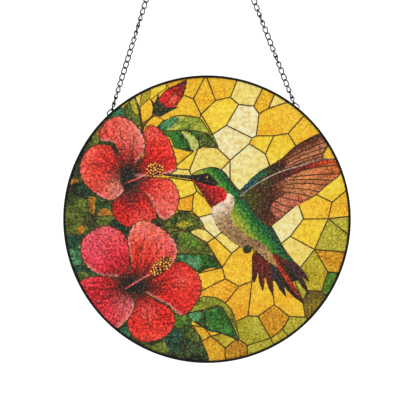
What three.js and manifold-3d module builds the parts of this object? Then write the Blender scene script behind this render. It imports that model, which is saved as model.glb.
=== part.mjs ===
import * as THREE from "three";
import { mergeVertices } from "three/addons/utils/BufferGeometryUtils.js";
import Module from "manifold-3d";

// A stained glass suncatcher: a round pane of pebbled glass with a printed picture, in a black
// came rim that hangs by two soldered wire loops from one curb chain.
// Millimetres, +Z up, +X to the viewer's right, and the picture faces -Y. The origin is the
// point where a hook bears on the upper wire of the chain's middle link, from below.

// Rim: a U-channel came, bent to a ring
const rimRadius = 101.6;
const rimDepth = 4.8;
const rimFace = 1.65;
const rimWeb = 0.6;
const lipThickness = 0.6;
const ringSteps = 64;

// Pane, held in the channel with play on every side
const paneThickness = 3;
const pieceGap = 0.3;

// Hanging loops: round wire bent to a low staple whose feet stand on the rim
const loopWire = 0.9;
const loopLength = 6.1;
const loopHeight = 2.2;
const loopBend = 1.1;
const loopSides = 6;

// Curb chain: oval links with a quarter turn of twist each, so that they lie flat together
const linkWire = 0.9;
const linkLength = 6.2;
const linkWidth = 4.1;
const linkTwist = Math.PI / 2;
const linkSteps = 8;
const linkSides = 5;
const joinedSides = 4;
const singleLinks = 17;
const joinedLinks = 26;
const chainLean = THREE.MathUtils.degToRad(19.3);

// Links that stand apart leave a hair of play, and joined ones are pressed into each other
const linkPlay = 0.08;
const linkPress = 0.12;

// Each run of chain turns slowly about its own length, and lingers where its links lie flat
const lowestTurn = THREE.MathUtils.degToRad(105);
const highestTurn = THREE.MathUtils.degToRad(45);
const halfTurns = { left: 3, right: 6 };
const flatLinger = 0.2;

const blackMetal = new THREE.MeshStandardMaterial({ color: 0x17181b, roughness: 0.32, metalness: 0.9 });
const chainMetal = new THREE.MeshStandardMaterial({ color: 0x26272b, roughness: 0.38, metalness: 0.9 });
const solderedWire = new THREE.MeshStandardMaterial({ color: 0x4c4d50, roughness: 0.45, metalness: 0.9 });
const printedGlass = new THREE.MeshStandardMaterial({ color: 0xc08a3c, roughness: 0.3, metalness: 0 });

const wasm = await Module();
wasm.setup();

// The centreline of a link: an oval about the origin, long way along Z, twisted about Z
class LinkOval extends THREE.Curve {
  getPoint(t, target = new THREE.Vector3()) {
    const bend = (linkWidth - linkWire) / 2;
    const straight = linkLength / 2 - linkWire / 2 - bend;
    const lap = 2 * Math.PI * bend + 4 * straight;
    const quarter = (Math.PI * bend) / 2;
    // Way travelled from the upper end, folded into the first quarter of the lap
    const way = (t % 1) * lap;
    const half = way > lap / 2 ? lap - way : way;
    const side = way > lap / 2 ? -1 : 1;
    const upper = half > lap / 4 ? -1 : 1;
    const fold = half > lap / 4 ? lap / 2 - half : half;
    const turn = Math.min(fold, quarter) / bend;
    const across = side * bend * Math.sin(turn);
    const along = upper * (straight + bend * Math.cos(turn) - Math.max(fold - quarter, 0));
    const twist = (linkTwist * along) / (linkLength - linkWire);
    return target.set(across * Math.cos(twist), across * Math.sin(twist), along);
  }
}

// A link as a closed round of wire, its ends merged so that no seam is left
function linkGeometry(sides) {
  const tube = new THREE.TubeGeometry(new LinkOval(), linkSteps, linkWire / 2, sides, true);
  tube.deleteAttribute("normal");
  tube.deleteAttribute("uv");
  return mergeVertices(tube, 1e-4);
}

function namedMesh(name, geometry, material) {
  const mesh = new THREE.Mesh(geometry, material);
  mesh.name = name;
  return mesh;
}

function toSolid(geometry) {
  const triVerts = new Uint32Array(geometry.index.array);
  const vertProperties = new Float32Array(geometry.attributes.position.array);
  return new wasm.Manifold(new wasm.Mesh({ numProp: 3, vertProperties, triVerts }));
}

function toGeometry(solid) {
  const mesh = solid.getMesh();
  const geometry = new THREE.BufferGeometry();
  geometry.setAttribute("position", new THREE.BufferAttribute(mesh.vertProperties, 3));
  geometry.setIndex(new THREE.BufferAttribute(mesh.triVerts, 1));
  return geometry;
}

// Where a link stands: its middle, the chain's direction there and the turn about it
function linkMatrix(middle, direction, turn) {
  const across = new THREE.Vector3(0, 1, 0).cross(direction).normalize();
  const depth = new THREE.Vector3().crossVectors(direction, across);
  const upright = new THREE.Matrix4().makeBasis(across, depth, direction);
  return upright.multiply(new THREE.Matrix4().makeRotationZ(turn)).setPosition(middle);
}

// Turn of one link about the chain, counted from the rim
function linkTurn(index, word) {
  const whole = lowestTurn - highestTurn + Math.PI * halfTurns[word];
  const even = lowestTurn - (whole * index) / (singleLinks + joinedLinks - 1);
  return even - flatLinger * Math.sin(2 * even);
}

// The middle link lies level, with the hook under its upper wire
function topLinkMatrix() {
  const middle = new THREE.Vector3(0, 0, -(linkWidth / 2 - linkWire));
  return linkMatrix(middle, new THREE.Vector3(1, 0, 0), 0);
}

// One run of chain, from the middle link down to its loop on the rim. side is -1 or 1
function chainRun(side) {
  const bend = (linkWidth - linkWire) / 2;
  const halfLink = (linkLength - linkWire) / 2;
  // The run hangs where the middle link's lower bend faces down the chain
  const reach = side * (halfLink - bend + bend * Math.sin(chainLean));
  const twist = (linkTwist * reach) / (linkLength - linkWire);
  const drop = bend * Math.cos(chainLean);
  const hold = new THREE.Vector3();
  hold.set(reach, drop * Math.sin(twist), -drop * Math.cos(twist) - (linkWidth / 2 - linkWire));
  const count = singleLinks + joinedLinks;
  const played = linkWire + linkPlay;
  const pressed = linkWire - linkPress;
  const length = 2 * halfLink * count - played * singleLinks - pressed * (joinedLinks - 1);
  const up = new THREE.Vector3(-side * Math.sin(chainLean), 0, Math.cos(chainLean));
  up.y = hold.y / length;
  up.normalize();
  const top = hold.clone().addScaledVector(up, played);
  const bottom = top.clone().addScaledVector(up, -length);
  // Middle of every link, counted from the rim
  const middles = [];
  let rise = halfLink;
  for (let i = 0; i < count; i += 1) {
    middles.push(bottom.clone().addScaledVector(up, rise));
    rise += 2 * halfLink - (i < singleLinks ? played : pressed);
  }
  return { up, bottom, middles };
}

// The rim's centre and its loops' angle from the top follow from where the chain ends
function rimPlacement(run) {
  const outward = rimRadius + loopHeight - loopWire / 2 - loopBend;
  const along = loopLength / 2 - loopWire / 2 - loopBend;
  const corner = run.bottom.clone().addScaledVector(run.up, linkWire + linkPlay - loopBend);
  const reach = Math.hypot(outward, along);
  const angle = Math.asin(Math.abs(corner.x) / reach) + Math.atan2(along, outward);
  const height = corner.z - outward * Math.cos(angle) - along * Math.sin(angle);
  return { angle, height };
}

function rimGeometry() {
  const half = rimDepth / 2;
  const inner = rimRadius - rimFace;
  const web = rimRadius - rimWeb;
  const lip = half - lipThickness;
  const profile = [
    new THREE.Vector2(rimRadius, -half),
    new THREE.Vector2(rimRadius, half),
    new THREE.Vector2(inner, half),
    new THREE.Vector2(inner, lip),
    new THREE.Vector2(web, lip),
    new THREE.Vector2(web, -lip),
    new THREE.Vector2(inner, -lip),
    new THREE.Vector2(inner, -half),
    new THREE.Vector2(rimRadius, -half),
  ];
  return new THREE.LatheGeometry(profile, ringSteps);
}

function paneGeometry() {
  const radius = rimRadius - rimWeb - pieceGap;
  return new THREE.CylinderGeometry(radius, radius, paneThickness, ringSteps);
}

// The staple's centreline stands on the rim along Z, with its feet a gap above the surface
function loopGeometry() {
  const half = loopLength / 2 - loopWire / 2;
  const crown = loopHeight - loopWire / 2;
  const at = (x, z) => new THREE.Vector3(x, 0, z);
  const shoulder = crown - loopBend;
  const reach = half - loopBend;
  const path = new THREE.CurvePath();
  path.add(new THREE.LineCurve3(at(-half, pieceGap), at(-half, shoulder)));
  path.add(new THREE.QuadraticBezierCurve3(at(-half, shoulder), at(-half, crown), at(-reach, crown)));
  path.add(new THREE.LineCurve3(at(-reach, crown), at(reach, crown)));
  path.add(new THREE.QuadraticBezierCurve3(at(reach, crown), at(half, crown), at(half, shoulder)));
  path.add(new THREE.LineCurve3(at(half, shoulder), at(half, pieceGap)));
  const section = new THREE.Shape();
  for (let i = 0; i < loopSides; i += 1) {
    const turn = (2 * Math.PI * i) / loopSides;
    const corner = [(loopWire / 2) * Math.cos(turn), (loopWire / 2) * Math.sin(turn)];
    if (i === 0) {
      section.moveTo(...corner);
    } else {
      section.lineTo(...corner);
    }
  }
  section.closePath();
  return new THREE.ExtrudeGeometry(section, { steps: 12, extrudePath: path, curveSegments: 1 });
}

function addChain(parent, run, word) {
  const single = linkGeometry(linkSides);
  const upper = linkGeometry(joinedSides);
  const joined = [];
  run.middles.forEach((middle, i) => {
    const matrix = linkMatrix(middle, run.up, linkTurn(i, word));
    if (i >= singleLinks) {
      joined.push(toSolid(upper.clone().applyMatrix4(matrix)));
      return;
    }
    const number = String(i + 1).padStart(2, "0");
    const link = namedMesh(`link_${word}_${number}`, single, chainMetal);
    link.position.setFromMatrixPosition(matrix);
    link.quaternion.setFromRotationMatrix(matrix);
    parent.add(link);
  });
  const solid = joined.reduce((whole, next) => whole.add(next));
  parent.add(namedMesh(`chain_run_${word}`, toGeometry(solid), chainMetal));
}

const group = new THREE.Group();
const leftRun = chainRun(-1);
const rightRun = chainRun(1);
const placement = rimPlacement(leftRun);

const panel = new THREE.Group();
panel.position.set(0, 0, placement.height);
const rim = namedMesh("rim", rimGeometry(), blackMetal);
const pane = namedMesh("glass_pane", paneGeometry(), printedGlass);
panel.add(pane, rim);

for (const [word, side] of [["left", -1], ["right", 1]]) {
  const loop = namedMesh(`hanging_loop_${word}`, loopGeometry(), solderedWire);
  const spoke = side * placement.angle;
  loop.rotation.y = spoke;
  loop.position.set(rimRadius * Math.sin(spoke), 0, rimRadius * Math.cos(spoke));
  panel.add(loop);
}
group.add(panel);

addChain(group, leftRun, "left");
addChain(group, rightRun, "right");
const topLink = namedMesh("link_top", linkGeometry(linkSides), chainMetal);
topLink.applyMatrix4(topLinkMatrix());
group.add(topLink);

export default group;
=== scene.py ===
# Stained glass suncatcher: a printed pane of pebbled glass in a black came rim, on a curb chain
import math

import bmesh
import bpy
import numpy as np
from mathutils import Matrix, Vector
from mathutils.geometry import delaunay_2d_cdt


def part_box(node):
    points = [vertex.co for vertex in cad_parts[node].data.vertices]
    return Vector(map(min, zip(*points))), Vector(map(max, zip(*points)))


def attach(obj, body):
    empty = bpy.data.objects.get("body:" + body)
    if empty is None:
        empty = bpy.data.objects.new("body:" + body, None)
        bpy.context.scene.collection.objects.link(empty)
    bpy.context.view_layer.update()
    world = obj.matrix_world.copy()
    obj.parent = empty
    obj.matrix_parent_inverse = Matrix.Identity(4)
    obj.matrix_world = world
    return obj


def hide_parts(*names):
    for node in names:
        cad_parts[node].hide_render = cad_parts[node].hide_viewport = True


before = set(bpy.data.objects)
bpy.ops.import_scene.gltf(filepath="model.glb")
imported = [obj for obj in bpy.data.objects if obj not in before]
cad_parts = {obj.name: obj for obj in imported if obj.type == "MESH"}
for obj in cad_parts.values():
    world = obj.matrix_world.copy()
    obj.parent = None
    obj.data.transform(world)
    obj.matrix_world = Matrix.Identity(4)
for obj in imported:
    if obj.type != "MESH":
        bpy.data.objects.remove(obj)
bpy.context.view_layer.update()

mm = 0.001
rimLow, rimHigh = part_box("rim")
rimCentre = (rimLow + rimHigh) / 2
rimRadius = (rimHigh.x - rimLow.x) / 2 / mm


# An output socket that can be used in sums
class Wire:
    def __init__(self, wiring, socket):
        self.wiring = wiring
        self.socket = socket

    def maths(self, operation, *terms):
        return self.wiring.node("ShaderNodeMath", {"operation": operation}, dict(enumerate(terms)))

    def __add__(self, other):
        return self.maths("ADD", self, other)

    def __radd__(self, other):
        return self.maths("ADD", other, self)

    def __sub__(self, other):
        return self.maths("SUBTRACT", self, other)

    def __rsub__(self, other):
        return self.maths("SUBTRACT", other, self)

    def __mul__(self, other):
        return self.maths("MULTIPLY", self, other)

    def __rmul__(self, other):
        return self.maths("MULTIPLY", other, self)

    def __truediv__(self, other):
        return self.maths("DIVIDE", self, other)


# One method makes every node: its type, its settings, then the values or wires of its sockets
class Wiring:
    def __init__(self, tree):
        self.tree = tree

    def node(self, kind, settings=None, sockets=None, output=0):
        made = self.tree.nodes.new(kind)
        for name, value in (settings or {}).items():
            if name == "stops":
                self.setStops(made.color_ramp, value)
            else:
                setattr(made, name, value)
        for name, value in (sockets or {}).items():
            wires = value if isinstance(value, list) else [value]
            if isinstance(wires[0], Wire):
                for wire in wires:
                    self.tree.links.new(wire.socket, made.inputs[name])
            else:
                made.inputs[name].default_value = value
        return Wire(self, made.outputs[output])

    def setStops(self, ramp, stops):
        while len(ramp.elements) < len(stops):
            ramp.elements.new(1)
        for element, (place, colour) in zip(ramp.elements, stops):
            element.position = place
            element.color = (*colour, 1)

    def mix(self, factor, first, second, blend="MIX"):
        settings = {"data_type": "RGBA", "blend_type": blend}
        return self.node("ShaderNodeMix", settings, {0: factor, 6: first, 7: second}, 2)

    def ramp(self, value, low, high):
        sockets = {"Value": value, "From Min": low, "From Max": high}
        return self.node("ShaderNodeMapRange", {"interpolation_type": "SMOOTHSTEP"}, sockets)

    def noise(self, place, scale, detail=2, roughness=0.5):
        sockets = {"Vector": place, "Scale": scale, "Detail": detail, "Roughness": roughness}
        return self.node("ShaderNodeTexNoise", None, sockets)


def colourOf(code):
    parts = [int(code[i:i + 2], 16) / 255 for i in (0, 2, 4)]
    return tuple(p / 12.92 if p <= 0.04045 else ((p + 0.055) / 1.055) ** 2.4 for p in parts)


def solid(code):
    return (*colourOf(code), 1)


# A material with a Principled shader, whose plain values are set here and whose wires come after
def newMaterial(name, **values):
    material = bpy.data.materials.new(name)
    material.use_nodes = True
    shader = material.node_tree.nodes["Principled BSDF"]
    for label, value in values.items():
        words = "".join(" " + c if c.isupper() else c for c in label).title()
        shader.inputs[words.replace("Ior", "IOR")].default_value = value
    wiring = Wiring(material.node_tree)
    place = wiring.node("ShaderNodeTexCoord", output=3)

    def feed(label, wire):
        material.node_tree.links.new(wire.socket, shader.inputs[label])

    return material, wiring, place, feed


# A geometry node tree with its own named inputs
class Growth(Wiring):
    def __init__(self, name):
        super().__init__(bpy.data.node_groups.new(name, "GeometryNodeTree"))
        self.tree.interface.new_socket("Geometry", in_out="INPUT", socket_type="NodeSocketGeometry")
        self.tree.interface.new_socket("Geometry", in_out="OUTPUT", socket_type="NodeSocketGeometry")
        self.entry = self.tree.nodes.new("NodeGroupInput")
        self.values = {}

    def input(self, label, kind, value):
        made = self.tree.interface.new_socket(label, in_out="INPUT", socket_type="NodeSocket" + kind)
        self.values[made.identifier] = value
        return Wire(self, self.entry.outputs[label])

    def geometry(self):
        return Wire(self, self.entry.outputs["Geometry"])

    def attribute(self, label, kind="FLOAT"):
        return self.node("GeometryNodeInputNamedAttribute", {"data_type": kind}, {"Name": label})

    def circle(self, resolution, radius):
        sockets = {"Resolution": resolution, "Radius": radius}
        return self.node("GeometryNodeCurvePrimitiveCircle", None, sockets)

    def sweep(self, path, section, more=None):
        sockets = {"Curve": path, "Profile Curve": section, **(more or {})}
        return self.node("GeometryNodeCurveToMesh", None, sockets)

    # Realizes the geometry, gives it its material and returns the grown mesh
    def grow(self, base, name, geometry, material):
        whole = self.node("GeometryNodeRealizeInstances", None, {"Geometry": geometry})
        dressed = self.node("GeometryNodeSetMaterial", None, {"Geometry": whole, "Material": material})
        leaving = self.tree.nodes.new("NodeGroupOutput")
        self.tree.links.new(dressed.socket, leaving.inputs["Geometry"])
        modifier = base.modifiers.new(name, "NODES")
        modifier.node_group = self.tree
        for identifier, value in self.values.items():
            modifier[identifier] = value
        bpy.context.view_layer.update()
        evaluated = base.evaluated_get(bpy.context.evaluated_depsgraph_get())
        mesh = bpy.data.meshes.new_from_object(evaluated)
        mesh.name = name
        base.modifiers.remove(modifier)
        bpy.data.objects.remove(base)
        return mesh


def newObject(name, mesh):
    made = bpy.data.objects.new(name, mesh)
    bpy.context.scene.collection.objects.link(made)
    return made


# A closed mesh becomes a piece of the object, with its faces outward
def finishPiece(name, mesh, nodes=(), sharp=40):
    shell = bmesh.new()
    shell.from_mesh(mesh)
    if shell.calc_volume(signed=True) < 0:
        bmesh.ops.reverse_faces(shell, faces=shell.faces)
        shell.to_mesh(mesh)
    shell.free()
    mesh.shade_smooth()
    if sharp:
        mesh.set_sharp_from_angle(angle=math.radians(sharp))
    piece = newObject(name, mesh)
    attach(piece, "root")
    if nodes:
        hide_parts(*nodes)
    print(name, len(mesh.polygons), "faces")
    return piece


# Vertices that lie along open or closed lines, for a tree that sweeps or scatters along them
def lineObject(name, runs, attributes):
    points = [p for run in runs for p in run["points"]]
    edges = []
    start = 0
    for run in runs:
        count = len(run["points"])
        edges += [(start + i, start + i + 1) for i in range(count - 1)]
        if run.get("closed"):
            edges.append((start + count - 1, start))
        start += count
    mesh = bpy.data.meshes.new(name)
    mesh.from_pydata(points, edges, [])
    for label, kind, values in attributes:
        layer = mesh.attributes.new(label, kind, "POINT")
        layer.data.foreach_set("vector" if kind == "FLOAT_VECTOR" else "value", np.ravel(values))
    return newObject(name, mesh)


# The printed picture, in millimetres about the pane's centre, x right and z up.
# Where the lines of the golden ground meet
junctions = {
    "t1": (-14.5, 101), "t2": (-0.9, 102), "t3": (-9.6, 84.9), "t4": (-16.7, 87.9), "t5": (-4.2, 74.1),
    "t6": (6.1, 83.9), "t7": (16.5, 86.1), "t8": (22.4, 101), "t9": (22.3, 81.1), "t10": (33, 79.9),
    "t11": (40.6, 95), "t12": (36.9, 74.6), "t13": (43.4, 78.2), "t14": (48.9, 91), "t15": (60.5, 84),
    "t16": (71, 76), "t17": (57.4, 60.6), "t18": (63.5, 50.5), "t19": (47.2, 58.9), "t20": (34.8, 58.9),
    "t21": (31.9, 57.4), "t22": (29.9, 53.3), "t23": (41.3, 46.1), "t24": (45.3, 35), "t25": (13.6, 66.3),
    "t26": (4, 60), "t27": (16.3, 41.6), "t28": (9.3, 34), "t29": (16.3, 28), "t30": (7, 50.6),
    "t31": (-5.9, 51), "t33": (-12.3, 34.8), "t34": (-24, 35.8), "t32": (-11.3, 30.4), "t35": (-27, 31),
    "r1": (75, 18.5), "r3": (88.4, 12), "r4": (101, 22.4), "r5": (64, 13), "r6": (68.2, 0.1),
    "r7": (85.6, 0.3), "r8": (103, 2.2), "r10": (103, -13.5), "r12": (102, -23.8),
    "r13": (58.8, -12.1), "r14": (51, -18.5), "r15": (76, -21.4), "r16": (65, -35.5), "r17": (85.4, -37.3),
    "r18": (96, -38.2), "r19": (80.9, -50.9), "r20": (88, -57), "r21": (71, -50.5), "r22": (73, -72),
    "r23": (67.8, -58), "r24": (69.4, -69.2),
    "b1": (-0.2, -16.7), "b2": (5.4, -13), "b3": (17.4, -24.1), "b4": (10.8, -34), "b5": (12, -8),
    "b6": (25, -18), "b7": (12.8, -42.1), "b8": (22.6, -47.5), "b9": (31.8, -43.8), "b10": (13.2, -59),
    "b11": (29.1, -68.2), "b12": (36, -68.8), "b13": (47.5, -60.4), "b14": (46.4, -51), "b15": (58.5, -68.8),
    "b16": (19, -73), "b17": (53.3, -77.8), "b18": (59, -84.5), "b19": (45, -84.1), "b20": (48.5, -92),
    "b21": (28.4, -89.2), "b22": (28.6, -99), "b23": (21.6, -84.2), "b24": (12.8, -91.2), "b25": (13, -102),
    "b26": (2.9, -82.6), "b27": (-4.5, -51), "b28": (-7, -56), "b29": (-6.5, -38.4), "b30": (-3.8, -86.5),
    "b31": (-10.6, -74.9), "b32": (-3.2, -102),
    "m1": (-21.5, 13.6), "m2": (-7.2, 19.9), "m3": (-9.6, 17.5), "m4": (-10.6, 5.3), "m5": (-22, 6.5),
    "m6": (-5.9, 1.3), "m7": (4, 4), "m8": (-27, 29.5), "m9": (-10, 27),
    "n1": (33, -22), "n2": (46, -30), "n3": (60, -40), "n5": (25, 16), "n6": (84, 62), "n7": (79, 41),
    "n8": (86, 53), "n9": (98, 50), "n10": (99, 36), "n11": (42, 2), "n12": (44, -10), "n13": (4, 10),
    "n14": (9, -3), "n15": (-1.4, -7.2), "n16": (-4, -3), "n17": (-13.3, -8.7), "n18": (-6.6, -6.5),
    "n19": (-2, -76.5), "n20": (-7, -80), "n21": (12, -80.5), "n22": (-6, 69), "n23": (-36, 70),
    "n24": (99, 41),
}

# Paints: a light and a deep tone that the glass wanders between
paints = {
    "cream": ("f2ecca", "ece29c"), "butter": ("f0eab2", "ecde86"), "pale": ("f0e286", "ead66c"),
    "yellow": ("f4de50", "eccc36"), "gold": ("f2ce42", "eab82e"), "amber": ("f0c03c", "e4a428"),
    "ochre": ("e0b236", "c48a1e"), "bronze": ("c0902c", "946618"), "olive": ("c8bc3c", "a49420"),
    "lime": ("bcb844", "a4a028"), "darkOlive": ("8c7c1f", "5e5212"), "green": ("689234", "346626"),
    "moss": ("74823a", "30491c"), "forest": ("46603a", "122a16"), "teal": ("5a9c6c", "265e42"),
    "deepTeal": ("2c5444", "0c2820"), "rust": ("bc8430", "704c18"), "umber": ("8c3020", "4c1c14"),
    "night": ("4a5030", "12180e"), "leafLight": ("c0c850", "547c26"), "leafPale": ("d0d88c", "acbc5c"),
    "leafMid": ("a0a838", "44641e"), "leafDark": ("428238", "123e1c"),
}

# The golden ground: a paint and the junctions round each cell
groundCells = [
    ("gold", "t1 t2 t3 t4"), ("gold", "t2 t6 t5 t3"), ("gold", "t2 t8 t7 t6"), ("pale", "t8 t11 t10 t9 t7"),
    ("gold", "t11 t14 t13 t12 t10"), ("pale", "t14 t15 t13"), ("gold", "t12 t13 t15 t16 t17 t19 t20"),
    ("cream", "t9 t10 t12 t20 t21 t25"), ("cream", "t25 t21 t22 t27 t30 t26"),
    ("yellow", "t21 t20 t19 t23 t22"), ("yellow", "t19 t17 t18 t24 t23"), ("yellow", "t6 t7 t9 t25 t26 t5"),
    ("gold", "t4 t3 t5 n22 n23"), ("gold", "t16 n6 t18 t17"), ("gold", "n7 n8 n9 n24"),
    ("butter", "t27 t28 t29"), ("yellow", "t34 t31 t33"), ("pale", "t34 t33 t32 t35"),
    ("pale", "t31 t30 t27 t28 t32 t33"), ("butter", "t22 t23 t24 n5 t29 t27"),
    ("yellow", "r1 n10 r4 r3"), ("gold", "r3 r4 r8 r7"), ("gold", "r5 r1 r3 r7 r6"),
    ("yellow", "r6 r7 r15 r13"), ("butter", "n11 r5 r6 r13 r14 n12"),
    ("lime", "r7 r8 r10"), ("lime", "r7 r10 r12 r15"), ("ochre", "r15 r12 r18 r17"),
    ("pale", "r13 r15 r16 r14"), ("olive", "r15 r17 r19 r21 r16"), ("green", "r17 r18 r20 r19"),
    ("darkOlive", "r21 r19 r20 r22 r24 r23"), ("pale", "b2 b5 b6 b3"), ("gold", "b1 b2 b3 b4"),
    ("gold", "b4 b3 b6 n1 b9 b8 b7"), ("gold", "b29 b4 b7 b27"), ("amber", "b27 b7 b8 b10 b28"),
    ("amber", "b10 b8 b9 b11 b16"), ("gold", "b9 n1 n2 b14 b13 b12 b11"),
    ("gold", "b14 n2 n3 r23 r24 b15 b13"), ("lime", "n3 r16 r21 r23"),
    ("ochre", "b12 b13 b15 b17 b19"), ("lime", "b15 r24 r22 b18 b17"),
    ("olive", "b17 b18 b20 b19"), ("lime", "b16 b11 b12 b19 b21 b23"), ("lime", "b21 b19 b20 b22"),
    ("bronze", "b24 b23 b21 b22 b25"), ("ochre", "b26 b24 b25 b32 b30"), ("ochre", "b31 n19 b26 b30 n20"),
    ("olive", "b26 n21 b23 b24"), ("yellow", "m8 m9 m2 m3 m1"), ("amber", "m1 m3 m4 m5"),
    ("yellow", "m3 m2 n13 m7 m6 m4"), ("cream", "m6 m7 n14 b5 b2 n15 n16"),
    ("pale", "n17 n18 n15 b2 b1"),
]

# The foliage behind the flowers: one wash, then patches, all with smooth outlines
foliageWash = [
    (-103, 62), (-84, 66), (-64, 60), (-50, 20), (-30, 0), (-12, -2), (-14, -30),
    (-12, -52), (-9, -58), (-11, -75), (-7, -80), (-3.6, -86), (-3, -103), (-60, -95),
    (-103, -60), (-108, 0),
]
foliage = [
    ("teal", [(-78, 70), (-68, 79), (-59.4, 78.5), (-57.4, 73.1), (-63.5, 71)]),
    ("rust", [(-82, 60), (-77, 68), (-73, 66), (-75.5, 58)]),
    ("moss", [(-92, 52), (-84, 61), (-76, 57), (-80, 50), (-88, 48)]),
    ("forest", [(-101, 40), (-93, 52), (-87, 46), (-90, 34), (-100, 28)]),
    ("rust", [(-97, 28.5), (-91, 28.2), (-90.5, 24.5), (-95.5, 22.5)]),
    ("deepTeal", [(-97, 23), (-90, 26), (-80, 19), (-78.5, 14.5), (-88, 14), (-96, 17)]),
    ("moss", [(-101, 15), (-92, 15.8), (-84.5, 13), (-84, 4), (-88, -3), (-101, -4)]),
    ("rust", [(-84, 15.6), (-78, 15), (-78.6, 8), (-80.5, 3), (-83.5, 7)]),
    ("forest", [(-78, 15.5), (-69, 12), (-66, 7), (-72, 6.5), (-78, 7)]),
    ("rust", [(-76.5, 6), (-71, 8), (-66.5, 3.5), (-70, 1.6), (-76, 2)]),
    ("night", [(-84, 3), (-77, 1), (-76, -4), (-81, -7), (-86, -3)]),
    ("moss", [(-101, -5), (-88, -3.5), (-84, -7), (-90, -11), (-101, -10)]),
    ("rust", [(-92, -6), (-87.5, -4.5), (-86, -9), (-89.5, -10.5)]),
    ("moss", [(-77, 1), (-67, 2.4), (-65.5, -3), (-72, -5), (-78, -3)]),
    ("teal", [(-103, -11), (-92, -12), (-88.5, -22), (-89, -31), (-96, -36), (-103, -28)]),
    ("deepTeal", [(-99, -11), (-91, -11.5), (-90, -18), (-96, -21), (-101, -18)]),
    ("deepTeal", [(-94, -33), (-86, -33), (-82, -37.5), (-88, -42), (-94, -40)]),
    ("moss", [(-91, -38), (-85, -37.5), (-84, -42), (-88, -46)]),
    ("deepTeal", [(-69, -5), (-62, -6.5), (-57, -13), (-55, -6), (-60, -1), (-66, 0)]),
    ("night", [(-38, 1), (-30, -1.5), (-28, -8), (-36, -4)]),
    ("forest", [(-66, -76), (-56, -72), (-53, -83), (-57, -88)]),
    ("teal", [(-62, -79), (-56, -76), (-54, -82), (-58, -85)]),
    ("moss", [(-56, -84), (-42, -89), (-28, -85), (-24, -90), (-34, -97), (-48, -92)]),
    ("deepTeal", [(-30, -74), (-22, -68), (-16, -76), (-15, -88), (-22, -96), (-29, -88)]),
    ("green", [(-23, -68), (-15, -66), (-12, -72), (-18, -77), (-23, -75)]),
    ("moss", [(-18, -77), (-12, -76), (-6.5, -81), (-6, -86), (-12, -86.5), (-17, -83)]),
    ("forest", [(-17, -84), (-9, -87), (-3.5, -87), (-3, -101), (-14, -101), (-19, -94)]),
    ("forest", [(-12, -89), (-7, -88), (-6, -94), (-11, -95)]),
    ("forest", [(-30, -3), (-21, -3), (-20, -10), (-27, -12)]),
]

# Panes between the bud and the upper leaf
budCells = [
    ("moss", [(-58.7, 79.2), (-51.3, 86), (-47.9, 78.5), (-46.5, 66), (-50, 64), (-57.4, 70)]),
    ("lime", [(-55, 83), (-51.3, 86), (-47.9, 78.5), (-48.6, 72), (-53, 77)]),
    ("olive", [(-49, 88), (-38.4, 93), (-40.4, 85.3), (-45.2, 79.9), (-47.9, 79.9)]),
    ("pale", [(-51, 87), (-46, 90), (-47, 85), (-48, 80)]),
    ("gold", [(-40.4, 86), (-36.5, 75.8), (-44.5, 65), (-46.5, 70), (-47.2, 79)]),
    ("yellow", [(-40, 93), (-27.6, 98), (-28.9, 92.7), (-34.3, 88.7), (-40.4, 84)]),
    ("amber", [(-30, 97), (-14.5, 101), (-15, 92), (-26.2, 92)]),
    ("gold", [(-46, 68), (-36.4, 73), (-30.9, 70.4), (-37, 62)]),
]

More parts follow.
